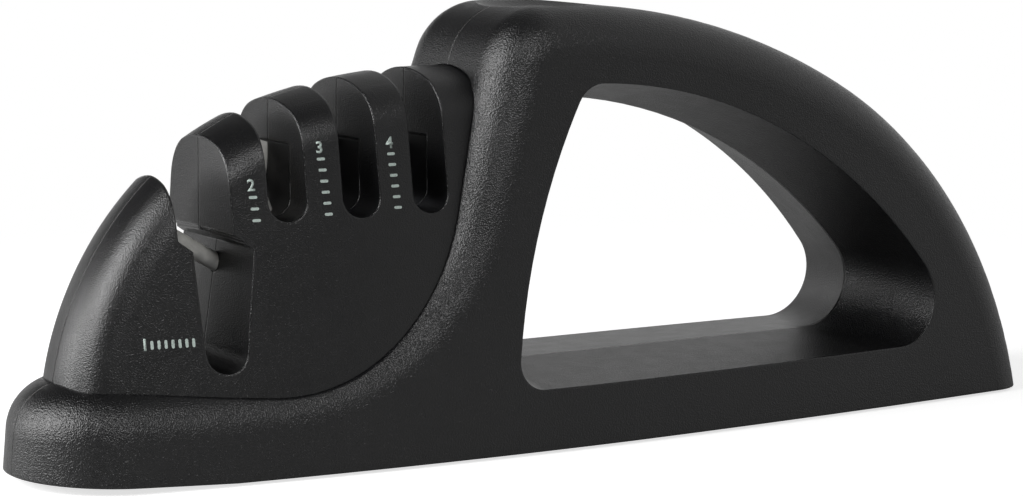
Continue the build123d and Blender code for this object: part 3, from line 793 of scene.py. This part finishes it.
def studio_world():
    """White behind the object and soft grey light from all round."""
    world = bpy.data.worlds.new("Studio")
    world.use_nodes = True
    tree = world.node_tree
    tree.nodes.clear()
    path = add(tree, "ShaderNodeLightPath").outputs
    shiny = add(
        tree, "ShaderNodeMath",
        {0: path["Is Glossy Ray"], 1: path["Is Transmission Ray"]}, operation="MAXIMUM")
    backdrop = mirrored_backdrop(tree)
    lighting = add(
        tree, "ShaderNodeMix", {SHARE: shiny, FIRST_VALUE: FILL_LIGHT, SECOND_VALUE: backdrop})
    strength = add(
        tree, "ShaderNodeMix",
        {SHARE: path["Is Camera Ray"], FIRST_VALUE: lighting, SECOND_VALUE: 1.0})
    light = add(
        tree, "ShaderNodeBackground", {"Color": linear("#ffffff"), "Strength": strength})
    add(tree, "ShaderNodeOutputWorld", {"Surface": light})
    bpy.context.scene.world = world


def pointed(place, way):
    """The matrix of a lamp or camera that stands at a place and looks a way."""
    return Matrix.Translation(place) @ way.to_track_quat("-Z", "Y").to_matrix().to_4x4()


def soft_lamp(name, place, target, size, power):
    """A flat soft lamp that shines at a point."""
    lamp = bpy.data.lights.new(name, "AREA")
    lamp.shape = "RECTANGLE"
    lamp.size, lamp.size_y = size
    lamp.energy = power
    holder = bpy.data.objects.new(name, lamp)
    holder.matrix_world = pointed(place, Vector(target) - Vector(place))
    bpy.context.scene.collection.objects.link(holder)


def photo_camera():
    """The camera, where the photograph was taken from."""
    lens = bpy.data.cameras.new("Camera")
    lens.sensor_width = CAMERA_SENSOR
    lens.lens = CAMERA_LENS
    lens.clip_start = CAMERA_CLIP_START
    lens.clip_end = CAMERA_CLIP_END
    camera = bpy.data.objects.new("Camera", lens)
    turn = math.radians(CAMERA_AZIMUTH)
    fall = math.radians(CAMERA_FALL)
    way = Vector((
        math.sin(turn) * math.cos(fall), math.cos(turn) * math.cos(fall), -math.sin(fall)))
    camera.matrix_world = pointed(CAMERA_PLACE, way)
    bpy.context.scene.collection.objects.link(camera)
    bpy.context.scene.camera = camera


class SHARPENER_OT_stage(bpy.types.Operator):
    """Sets up the floor, the lamps, the world and the camera"""

    bl_idname = "sharpener.stage"
    bl_label = "Studio"

    def execute(self, context):
        look = context.scene.sharpener_studio
        mesh = bpy.data.meshes.new("floor")
        size = FLOOR_HALF_SIZE
        corners = [(-size, -size, 0), (size, -size, 0), (size, size, 0), (-size, size, 0)]
        mesh.from_pydata(corners, [], [(0, 1, 2, 3)])
        mesh.materials.append(studio_floor(look))
        floor = bpy.data.objects.new("floor", mesh)
        context.scene.collection.objects.link(floor)
        studio_world()
        for name, (place, target, extent, power) in LAMPS.items():
            soft_lamp(name, place, target, extent, getattr(look, power))
        photo_camera()
        context.scene.view_settings.view_transform = "Standard"
        return {"FINISHED"}


OPERATORS = (
    SHARPENER_OT_case,
    SHARPENER_OT_head,
    SHARPENER_OT_base_plate,
    SHARPENER_OT_feet,
    SHARPENER_OT_rods,
    SHARPENER_OT_blades,
    SHARPENER_OT_holders,
    SHARPENER_OT_screws,
    SHARPENER_OT_marks,
    SHARPENER_OT_stage,
)

SETTINGS = {
    "sharpener_plastics": SharpenerPlastics,
    "sharpener_elements": SharpenerElements,
    "sharpener_marks": SharpenerMarks,
    "sharpener_studio": SharpenerStudio,
}


class SHARPENER_PT_parts(bpy.types.Panel):
    """Lists the groups of parts and the studio"""

    bl_idname = "SHARPENER_PT_parts"
    bl_label = "Knife Sharpener"
    bl_space_type = "VIEW_3D"
    bl_region_type = "UI"
    bl_category = "Sharpener"

    def draw(self, context):
        for name in SETTINGS:
            box = self.layout.box()
            group = getattr(context.scene, name)
            for key in group.bl_rna.properties.keys():
                if key not in ("rna_type", "name"):
                    box.prop(group, key)
        for operator in OPERATORS:
            self.layout.operator(operator.bl_idname)


def register():
    """Registers the settings, the operators and the panel."""
    for name, group in SETTINGS.items():
        bpy.utils.register_class(group)
        setattr(bpy.types.Scene, name, bpy.props.PointerProperty(type=group))
    for operator in OPERATORS:
        bpy.utils.register_class(operator)
    bpy.utils.register_class(SHARPENER_PT_parts)


def unregister():
    """Takes everything that register added away again."""
    bpy.utils.unregister_class(SHARPENER_PT_parts)
    for operator in reversed(OPERATORS):
        bpy.utils.unregister_class(operator)
    for name, group in SETTINGS.items():
        delattr(bpy.types.Scene, name)
        bpy.utils.unregister_class(group)


def main():
    register()
    for operator in OPERATORS:
        group, name = operator.bl_idname.split(".")
        getattr(getattr(bpy.ops, group), name)()


if __name__ == "__main__":
    main()
